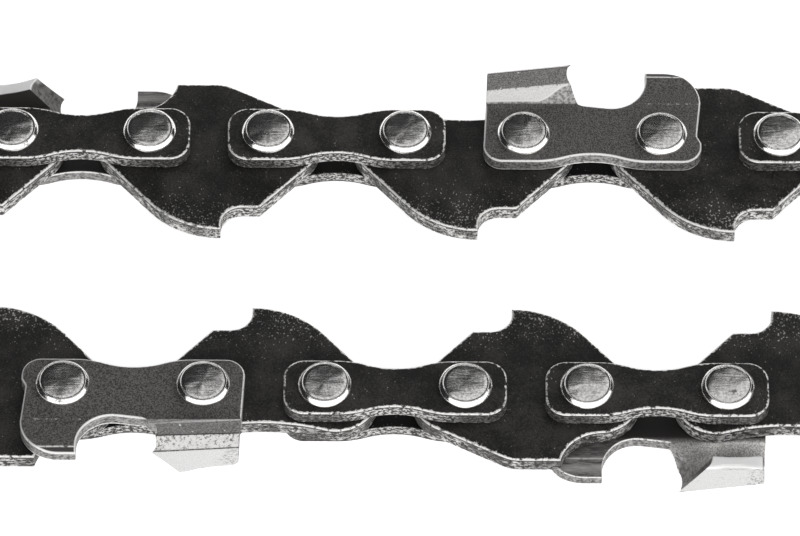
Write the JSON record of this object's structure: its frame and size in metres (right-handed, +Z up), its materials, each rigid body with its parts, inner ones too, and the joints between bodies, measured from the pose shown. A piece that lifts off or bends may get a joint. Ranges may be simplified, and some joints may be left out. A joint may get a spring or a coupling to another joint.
{
  "type": "chainsaw chain loop",
  "caption": "Closed loop of riveted saw chain: hooked drive links between side plates, left and right cutters with depth gauges, laid on its side.",
  "frame": {"origin": "under the middle of the loop, on the surface it lies on", "axes": "+X along the straight runs, +Z up along the rivets; the chain travels clockwise seen from above"},
  "size_m": [0.2544, 0.0364, 0.0065],
  "materials": {
    "oxide": "black oxide with fine pale specks",
    "strap": "black oxide straps with bright peened rivets",
    "cutter": "satin grey steel with a plated top"
  },
  "bodies": {
    "right_cutter_link_01": {"right_cutter_link_01": "cutter"},
    "bumper_drive_link_01": {"bumper_drive_link_01": "oxide"},
    "tie_strap_link_02": {"tie_strap_link_02": "strap"},
    "plain_drive_link_02": {"plain_drive_link_02": "oxide"},
    "left_cutter_link_03": {"left_cutter_link_03": "cutter"},
    "bumper_drive_link_03": {"bumper_drive_link_03": "oxide"},
    "tie_strap_link_04": {"tie_strap_link_04": "strap"},
    "plain_drive_link_04": {"plain_drive_link_04": "oxide"},
    "right_cutter_link_05": {"right_cutter_link_05": "cutter"},
    "bumper_drive_link_05": {"bumper_drive_link_05": "oxide"},
    "tie_strap_link_06": {"tie_strap_link_06": "strap"},
    "plain_drive_link_06": {"plain_drive_link_06": "oxide"},
    "left_cutter_link_07": {"left_cutter_link_07": "cutter"},
    "bumper_drive_link_07": {"bumper_drive_link_07": "oxide"},
    "tie_strap_link_08": {"tie_strap_link_08": "strap"},
    "plain_drive_link_08": {"plain_drive_link_08": "oxide"},
    "right_cutter_link_09": {"right_cutter_link_09": "cutter"},
    "bumper_drive_link_09": {"bumper_drive_link_09": "oxide"},
    "tie_strap_link_10": {"tie_strap_link_10": "strap"},
    "plain_drive_link_10": {"plain_drive_link_10": "oxide"},
    "left_cutter_link_11": {"left_cutter_link_11": "cutter"},
    "bumper_drive_link_11": {"bumper_drive_link_11": "oxide"},
    "tie_strap_link_12": {"tie_strap_link_12": "strap"},
    "plain_drive_link_12": {"plain_drive_link_12": "oxide"},
    "right_cutter_link_13": {"right_cutter_link_13": "cutter"},
    "bumper_drive_link_13": {"bumper_drive_link_13": "oxide"},
    "tie_strap_link_14": {"tie_strap_link_14": "strap"},
    "plain_drive_link_14": {"plain_drive_link_14": "oxide"},
    "left_cutter_link_15": {"left_cutter_link_15": "cutter"},
    "bumper_drive_link_15": {"bumper_drive_link_15": "oxide"},
    "tie_strap_link_16": {"tie_strap_link_16": "strap"},
    "plain_drive_link_16": {"plain_drive_link_16": "oxide"},
    "right_cutter_link_17": {"right_cutter_link_17": "cutter"},
    "bumper_drive_link_17": {"bumper_drive_link_17": "oxide"},
    "tie_strap_link_18": {"tie_strap_link_18": "strap"},
    "plain_drive_link_18": {"plain_drive_link_18": "oxide"},
    "left_cutter_link_19": {"left_cutter_link_19": "cutter"},
    "bumper_drive_link_19": {"bumper_drive_link_19": "oxide"},
    "tie_strap_link_20": {"tie_strap_link_20": "strap"},
    "plain_drive_link_20": {"plain_drive_link_20": "oxide"},
    "right_cutter_link_21": {"right_cutter_link_21": "cutter"},
    "bumper_drive_link_21": {"bumper_drive_link_21": "oxide"},
    "tie_strap_link_22": {"tie_strap_link_22": "strap"},
    "plain_drive_link_22": {"plain_drive_link_22": "oxide"},
    "left_cutter_link_23": {"left_cutter_link_23": "cutter"},
    "bumper_drive_link_23": {"bumper_drive_link_23": "oxide"},
    "tie_strap_link_24": {"tie_strap_link_24": "strap"},
    "plain_drive_link_24": {"plain_drive_link_24": "oxide"},
    "right_cutter_link_25": {"right_cutter_link_25": "cutter"},
    "bumper_drive_link_25": {"bumper_drive_link_25": "oxide"},
    "tie_strap_link_26": {"tie_strap_link_26": "strap"},
    "plain_drive_link_26": {"plain_drive_link_26": "oxide"},
    "left_cutter_link_27": {"left_cutter_link_27": "cutter"},
    "bumper_drive_link_27": {"bumper_drive_link_27": "oxide"},
    "tie_strap_link_28": {"tie_strap_link_28": "strap"},
    "plain_drive_link_28": {"plain_drive_link_28": "oxide"}
  },
  "joints": [
    {"name": "pivot_01", "type": "hinge", "parent": "right_cutter_link_01", "child": "bumper_drive_link_01", "pos_m": [0.00283, 0.01126, 0.00325], "axis": [0, 0, -1], "range_deg": [-0.02, 6.45]},
    {"name": "pivot_02", "type": "hinge", "parent": "bumper_drive_link_01", "child": "tie_strap_link_02", "pos_m": [0.01148, 0.01126, 0.00325], "axis": [0, 0, -1], "range_deg": [-0.02, 6.45]},
    {"name": "pivot_03", "type": "hinge", "parent": "tie_strap_link_02", "child": "plain_drive_link_02", "pos_m": [0.02148, 0.01126, 0.00325], "axis": [0, 0, -1], "range_deg": [-0.02, 6.45]},
    {"name": "pivot_04", "type": "hinge", "parent": "plain_drive_link_02", "child": "left_cutter_link_03", "pos_m": [0.03013, 0.01126, 0.00325], "axis": [0, 0, -1], "range_deg": [-0.02, 6.45]},
    {"name": "pivot_05", "type": "hinge", "parent": "left_cutter_link_03", "child": "bumper_drive_link_03", "pos_m": [0.04013, 0.01126, 0.00325], "axis": [0, 0, -1], "range_deg": [-0.02, 6.45]},
    {"name": "pivot_06", "type": "hinge", "parent": "bumper_drive_link_03", "child": "tie_strap_link_04", "pos_m": [0.04878, 0.01126, 0.00325], "axis": [0, 0, -1], "range_deg": [-0.02, 6.45]},
    {"name": "pivot_07", "type": "hinge", "parent": "tie_strap_link_04", "child": "plain_drive_link_04", "pos_m": [0.05878, 0.01126, 0.00325], "axis": [0, 0, -1], "range_deg": [-0.02, 6.45]},
    {"name": "pivot_08", "type": "hinge", "parent": "plain_drive_link_04", "child": "right_cutter_link_05", "pos_m": [0.06743, 0.01126, 0.00325], "axis": [0, 0, -1], "range_deg": [-0.02, 6.45]},
    {"name": "pivot_09", "type": "hinge", "parent": "right_cutter_link_05", "child": "bumper_drive_link_05", "pos_m": [0.07743, 0.01126, 0.00325], "axis": [0, 0, -1], "range_deg": [-0.02, 6.45]},
    {"name": "pivot_10", "type": "hinge", "parent": "bumper_drive_link_05", "child": "tie_strap_link_06", "pos_m": [0.08608, 0.01126, 0.00325], "axis": [0, 0, -1], "range_deg": [-0.02, 6.45]},
    {"name": "pivot_11", "type": "hinge", "parent": "tie_strap_link_06", "child": "plain_drive_link_06", "pos_m": [0.09608, 0.01126, 0.00325], "axis": [0, 0, -1], "range_deg": [-0.02, 6.45]},
    {"name": "pivot_12", "type": "hinge", "parent": "plain_drive_link_06", "child": "left_cutter_link_07", "pos_m": [0.10473, 0.01126, 0.00325], "axis": [0, 0, -1], "range_deg": [-0.02, 12.45]},
    {"name": "pivot_13", "type": "hinge", "parent": "left_cutter_link_07", "child": "bumper_drive_link_07", "pos_m": [0.11468, 0.0123, 0.00325], "axis": [0, 0, -1], "range_deg": [-33.59, 0.02]},
    {"name": "pivot_14", "type": "hinge", "parent": "bumper_drive_link_07", "child": "tie_strap_link_08", "pos_m": [0.12185, 0.00747, 0.00325], "axis": [0, 0, -1], "range_deg": [-38.59, 0.02]},
    {"name": "pivot_15", "type": "hinge", "parent": "tie_strap_link_08", "child": "plain_drive_link_08", "pos_m": [0.12375, -0.00235, 0.00325], "axis": [0, 0, -1], "range_deg": [-38.57, 0]},
    {"name": "pivot_16", "type": "hinge", "parent": "plain_drive_link_08", "child": "right_cutter_link_09", "pos_m": [0.11892, -0.00952, 0.00325], "axis": [0, 0, -1], "range_deg": [-39.59, 0.02]},
    {"name": "pivot_17", "type": "hinge", "parent": "right_cutter_link_09", "child": "bumper_drive_link_09", "pos_m": [0.10907, -0.01126, 0.00325], "axis": [0, 0, -1], "range_deg": [-3.59, 0.02]},
    {"name": "pivot_18", "type": "hinge", "parent": "bumper_drive_link_09", "child": "tie_strap_link_10", "pos_m": [0.10042, -0.01126, 0.00325], "axis": [0, 0, -1], "range_deg": [-0.02, 6.45]},
    {"name": "pivot_19", "type": "hinge", "parent": "tie_strap_link_10", "child": "plain_drive_link_10", "pos_m": [0.09042, -0.01126, 0.00325], "axis": [0, 0, -1], "range_deg": [-0.02, 6.45]},
    {"name": "pivot_20", "type": "hinge", "parent": "plain_drive_link_10", "child": "left_cutter_link_11", "pos_m": [0.08177, -0.01126, 0.00325], "axis": [0, 0, -1], "range_deg": [-0.02, 6.45]},
    {"name": "pivot_21", "type": "hinge", "parent": "left_cutter_link_11", "child": "bumper_drive_link_11", "pos_m": [0.07177, -0.01126, 0.00325], "axis": [0, 0, -1], "range_deg": [-0.02, 6.45]},
    {"name": "pivot_22", "type": "hinge", "parent": "bumper_drive_link_11", "child": "tie_strap_link_12", "pos_m": [0.06312, -0.01126, 0.00325], "axis": [0, 0, -1], "range_deg": [-0.02, 6.45]},
    {"name": "pivot_23", "type": "hinge", "parent": "tie_strap_link_12", "child": "plain_drive_link_12", "pos_m": [0.05312, -0.01126, 0.00325], "axis": [0, 0, -1], "range_deg": [-0.02, 6.45]},
    {"name": "pivot_24", "type": "hinge", "parent": "plain_drive_link_12", "child": "right_cutter_link_13", "pos_m": [0.04447, -0.01126, 0.00325], "axis": [0, 0, -1], "range_deg": [-0.02, 6.45]},
    {"name": "pivot_25", "type": "hinge", "parent": "right_cutter_link_13", "child": "bumper_drive_link_13", "pos_m": [0.03447, -0.01126, 0.00325], "axis": [0, 0, -1], "range_deg": [-0.02, 6.45]},
    {"name": "pivot_26", "type": "hinge", "parent": "bumper_drive_link_13", "child": "tie_strap_link_14", "pos_m": [0.02582, -0.01126, 0.00325], "axis": [0, 0, -1], "range_deg": [-0.02, 6.45]},
    {"name": "pivot_27", "type": "hinge", "parent": "tie_strap_link_14", "child": "plain_drive_link_14", "pos_m": [0.01582, -0.01126, 0.00325], "axis": [0, 0, -1], "range_deg": [-0.02, 6.45]},
    {"name": "pivot_28", "type": "hinge", "parent": "plain_drive_link_14", "child": "left_cutter_link_15", "pos_m": [0.00717, -0.01126, 0.00325], "axis": [0, 0, -1], "range_deg": [-0.02, 6.45]},
    {"name": "pivot_30", "type": "hinge", "parent": "tie_strap_link_16", "child": "bumper_drive_link_15", "pos_m": [-0.01148, -0.01126, 0.00325], "axis": [0, 0, 1], "range_deg": [-0.02, 6.45]},
    {"name": "pivot_31", "type": "hinge", "parent": "plain_drive_link_16", "child": "tie_strap_link_16", "pos_m": [-0.02148, -0.01126, 0.00325], "axis": [0, 0, 1], "range_deg": [-0.02, 6.45]},
    {"name": "pivot_32", "type": "hinge", "parent": "right_cutter_link_17", "child": "plain_drive_link_16", "pos_m": [-0.03013, -0.01126, 0.00325], "axis": [0, 0, 1], "range_deg": [-0.02, 6.45]},
    {"name": "pivot_33", "type": "hinge", "parent": "bumper_drive_link_17", "child": "right_cutter_link_17", "pos_m": [-0.04013, -0.01126, 0.00325], "axis": [0, 0, 1], "range_deg": [-0.02, 6.45]},
    {"name": "pivot_34", "type": "hinge", "parent": "tie_strap_link_18", "child": "bumper_drive_link_17", "pos_m": [-0.04878, -0.01126, 0.00325], "axis": [0, 0, 1], "range_deg": [-0.02, 6.45]},
    {"name": "pivot_35", "type": "hinge", "parent": "plain_drive_link_18", "child": "tie_strap_link_18", "pos_m": [-0.05878, -0.01126, 0.00325], "axis": [0, 0, 1], "range_deg": [-0.02, 6.45]},
    {"name": "pivot_36", "type": "hinge", "parent": "left_cutter_link_19", "child": "plain_drive_link_18", "pos_m": [-0.06743, -0.01126, 0.00325], "axis": [0, 0, 1], "range_deg": [-0.02, 6.45]},
    {"name": "pivot_37", "type": "hinge", "parent": "bumper_drive_link_19", "child": "left_cutter_link_19", "pos_m": [-0.07743, -0.01126, 0.00325], "axis": [0, 0, 1], "range_deg": [-0.02, 6.45]},
    {"name": "pivot_38", "type": "hinge", "parent": "tie_strap_link_20", "child": "bumper_drive_link_19", "pos_m": [-0.08608, -0.01126, 0.00325], "axis": [0, 0, 1], "range_deg": [-0.02, 6.45]},
    {"name": "pivot_39", "type": "hinge", "parent": "plain_drive_link_20", "child": "tie_strap_link_20", "pos_m": [-0.09608, -0.01126, 0.00325], "axis": [0, 0, 1], "range_deg": [-0.02, 6.45]},
    {"name": "pivot_40", "type": "hinge", "parent": "right_cutter_link_21", "child": "plain_drive_link_20", "pos_m": [-0.10473, -0.01126, 0.00325], "axis": [0, 0, 1], "range_deg": [-0.02, 12.45]},
    {"name": "pivot_41", "type": "hinge", "parent": "bumper_drive_link_21", "child": "right_cutter_link_21", "pos_m": [-0.11468, -0.0123, 0.00325], "axis": [0, 0, 1], "range_deg": [-33.59, 0.02]},
    {"name": "pivot_42", "type": "hinge", "parent": "tie_strap_link_22", "child": "bumper_drive_link_21", "pos_m": [-0.12185, -0.00747, 0.00325], "axis": [0, 0, 1], "range_deg": [-38.59, 0.02]},
    {"name": "pivot_43", "type": "hinge", "parent": "plain_drive_link_22", "child": "tie_strap_link_22", "pos_m": [-0.12375, 0.00235, 0.00325], "axis": [0, 0, 1], "range_deg": [-38.59, 0.02]},
    {"name": "pivot_44", "type": "hinge", "parent": "left_cutter_link_23", "child": "plain_drive_link_22", "pos_m": [-0.11892, 0.00952, 0.00325], "axis": [0, 0, 1], "range_deg": [-39.59, 0.02]},
    {"name": "pivot_45", "type": "hinge", "parent": "bumper_drive_link_23", "child": "left_cutter_link_23", "pos_m": [-0.10907, 0.01126, 0.00325], "axis": [0, 0, 1], "range_deg": [-3.59, 0.02]},
    {"name": "pivot_46", "type": "hinge", "parent": "tie_strap_link_24", "child": "bumper_drive_link_23", "pos_m": [-0.10042, 0.01126, 0.00325], "axis": [0, 0, 1], "range_deg": [-0.02, 6.45]},
    {"name": "pivot_47", "type": "hinge", "parent": "plain_drive_link_24", "child": "tie_strap_link_24", "pos_m": [-0.09042, 0.01126, 0.00325], "axis": [0, 0, 1], "range_deg": [-0.02, 6.45]},
    {"name": "pivot_48", "type": "hinge", "parent": "right_cutter_link_25", "child": "plain_drive_link_24", "pos_m": [-0.08177, 0.01126, 0.00325], "axis": [0, 0, 1], "range_deg": [-0.02, 6.45]},
    {"name": "pivot_49", "type": "hinge", "parent": "bumper_drive_link_25", "child": "right_cutter_link_25", "pos_m": [-0.07177, 0.01126, 0.00325], "axis": [0, 0, 1], "range_deg": [-0.02, 6.45]},
    {"name": "pivot_50", "type": "hinge", "parent": "tie_strap_link_26", "child": "bumper_drive_link_25", "pos_m": [-0.06312, 0.01126, 0.00325], "axis": [0, 0, 1], "range_deg": [-0.02, 6.45]},
    {"name": "pivot_51", "type": "hinge", "parent": "plain_drive_link_26", "child": "tie_strap_link_26", "pos_m": [-0.05312, 0.01126, 0.00325], "axis": [0, 0, 1], "range_deg": [-0.02, 6.45]},
    {"name": "pivot_52", "type": "hinge", "parent": "left_cutter_link_27", "child": "plain_drive_link_26", "pos_m": [-0.04447, 0.01126, 0.00325], "axis": [0, 0, 1], "range_deg": [-0.02, 6.45]},
    {"name": "pivot_53", "type": "hinge", "parent": "bumper_drive_link_27", "child": "left_cutter_link_27", "pos_m": [-0.03447, 0.01126, 0.00325], "axis": [0, 0, 1], "range_deg": [-0.02, 6.45]},
    {"name": "pivot_54", "type": "hinge", "parent": "tie_strap_link_28", "child": "bumper_drive_link_27", "pos_m": [-0.02582, 0.01126, 0.00325], "axis": [0, 0, 1], "range_deg": [-0.02, 6.45]},
    {"name": "pivot_55", "type": "hinge", "parent": "plain_drive_link_28", "child": "tie_strap_link_28", "pos_m": [-0.01582, 0.01126, 0.00325], "axis": [0, 0, 1], "range_deg": [-0.02, 6.45]},
    {"name": "pivot_56", "type": "hinge", "parent": "right_cutter_link_01", "child": "plain_drive_link_28", "pos_m": [-0.00717, 0.01126, 0.00325], "axis": [0, 0, 1], "range_deg": [-0.02, 6.45]}
  ],
  "couplings": [
    {"joint": "pivot_01", "follows": "pivot_15", "ratio": -0.16667},
    {"joint": "pivot_02", "follows": "pivot_15", "ratio": -0.16667},
    {"joint": "pivot_03", "follows": "pivot_15", "ratio": -0.16667},
    {"joint": "pivot_04", "follows": "pivot_15", "ratio": -0.16667},
    {"joint": "pivot_05", "follows": "pivot_15", "ratio": -0.16667},
    {"joint": "pivot_06", "follows": "pivot_15", "ratio": -0.16667},
    {"joint": "pivot_07", "follows": "pivot_15", "ratio": -0.16667},
    {"joint": "pivot_08", "follows": "pivot_15", "ratio": -0.16667},
    {"joint": "pivot_09", "follows": "pivot_15", "ratio": -0.16667},
    {"joint": "pivot_10", "follows": "pivot_15", "ratio": -0.16667},
    {"joint": "pivot_11", "follows": "pivot_15", "ratio": -0.16667},
    {"joint": "pivot_12", "follows": "pivot_15", "ratio": -0.32222},
    {"joint": "pivot_13", "follows": "pivot_15", "ratio": 0.87037},
    {"joint": "pivot_14", "follows": "pivot_15", "ratio": 1},
    {"joint": "pivot_16", "follows": "pivot_15", "ratio": 1.0259},
    {"joint": "pivot_17", "follows": "pivot_15", "ratio": 0.092593},
    {"joint": "pivot_18", "follows": "pivot_15", "ratio": -0.16667},
    {"joint": "pivot_19", "follows": "pivot_15", "ratio": -0.16667},
    {"joint": "pivot_20", "follows": "pivot_15", "ratio": -0.16667},
    {"joint": "pivot_21", "follows": "pivot_15", "ratio": -0.16667},
    {"joint": "pivot_22", "follows": "pivot_15", "ratio": -0.16667},
    {"joint": "pivot_23", "follows": "pivot_15", "ratio": -0.16667},
    {"joint": "pivot_24", "follows": "pivot_15", "ratio": -0.16667},
    {"joint": "pivot_25", "follows": "pivot_15", "ratio": -0.16667},
    {"joint": "pivot_26", "follows": "pivot_15", "ratio": -0.16667},
    {"joint": "pivot_27", "follows": "pivot_15", "ratio": -0.16667},
    {"joint": "pivot_28", "follows": "pivot_15", "ratio": -0.16667},
    {"joint": "pivot_30", "follows": "pivot_15", "ratio": -0.16667},
    {"joint": "pivot_31", "follows": "pivot_15", "ratio": -0.16667},
    {"joint": "pivot_32", "follows": "pivot_15", "ratio": -0.16667},
    {"joint": "pivot_33", "follows": "pivot_15", "ratio": -0.16667},
    {"joint": "pivot_34", "follows": "pivot_15", "ratio": -0.16667},
    {"joint": "pivot_35", "follows": "pivot_15", "ratio": -0.16667},
    {"joint": "pivot_36", "follows": "pivot_15", "ratio": -0.16667},
    {"joint": "pivot_37", "follows": "pivot_15", "ratio": -0.16667},
    {"joint": "pivot_38", "follows": "pivot_15", "ratio": -0.16667},
    {"joint": "pivot_39", "follows": "pivot_15", "ratio": -0.16667},
    {"joint": "pivot_40", "follows": "pivot_15", "ratio": -0.32222},
    {"joint": "pivot_41", "follows": "pivot_15", "ratio": 0.87037},
    {"joint": "pivot_42", "follows": "pivot_15", "ratio": 1},
    {"joint": "pivot_43", "follows": "pivot_15", "ratio": 1},
    {"joint": "pivot_44", "follows": "pivot_15", "ratio": 1.0259},
    {"joint": "pivot_45", "follows": "pivot_15", "ratio": 0.092593},
    {"joint": "pivot_46", "follows": "pivot_15", "ratio": -0.16667},
    {"joint": "pivot_47", "follows": "pivot_15", "ratio": -0.16667},
    {"joint": "pivot_48", "follows": "pivot_15", "ratio": -0.16667},
    {"joint": "pivot_49", "follows": "pivot_15", "ratio": -0.16667},
    {"joint": "pivot_50", "follows": "pivot_15", "ratio": -0.16667},
    {"joint": "pivot_51", "follows": "pivot_15", "ratio": -0.16667},
    {"joint": "pivot_52", "follows": "pivot_15", "ratio": -0.16667},
    {"joint": "pivot_53", "follows": "pivot_15", "ratio": -0.16667},
    {"joint": "pivot_54", "follows": "pivot_15", "ratio": -0.16667},
    {"joint": "pivot_55", "follows": "pivot_15", "ratio": -0.16667},
    {"joint": "pivot_56", "follows": "pivot_15", "ratio": -0.16667}
  ]
}
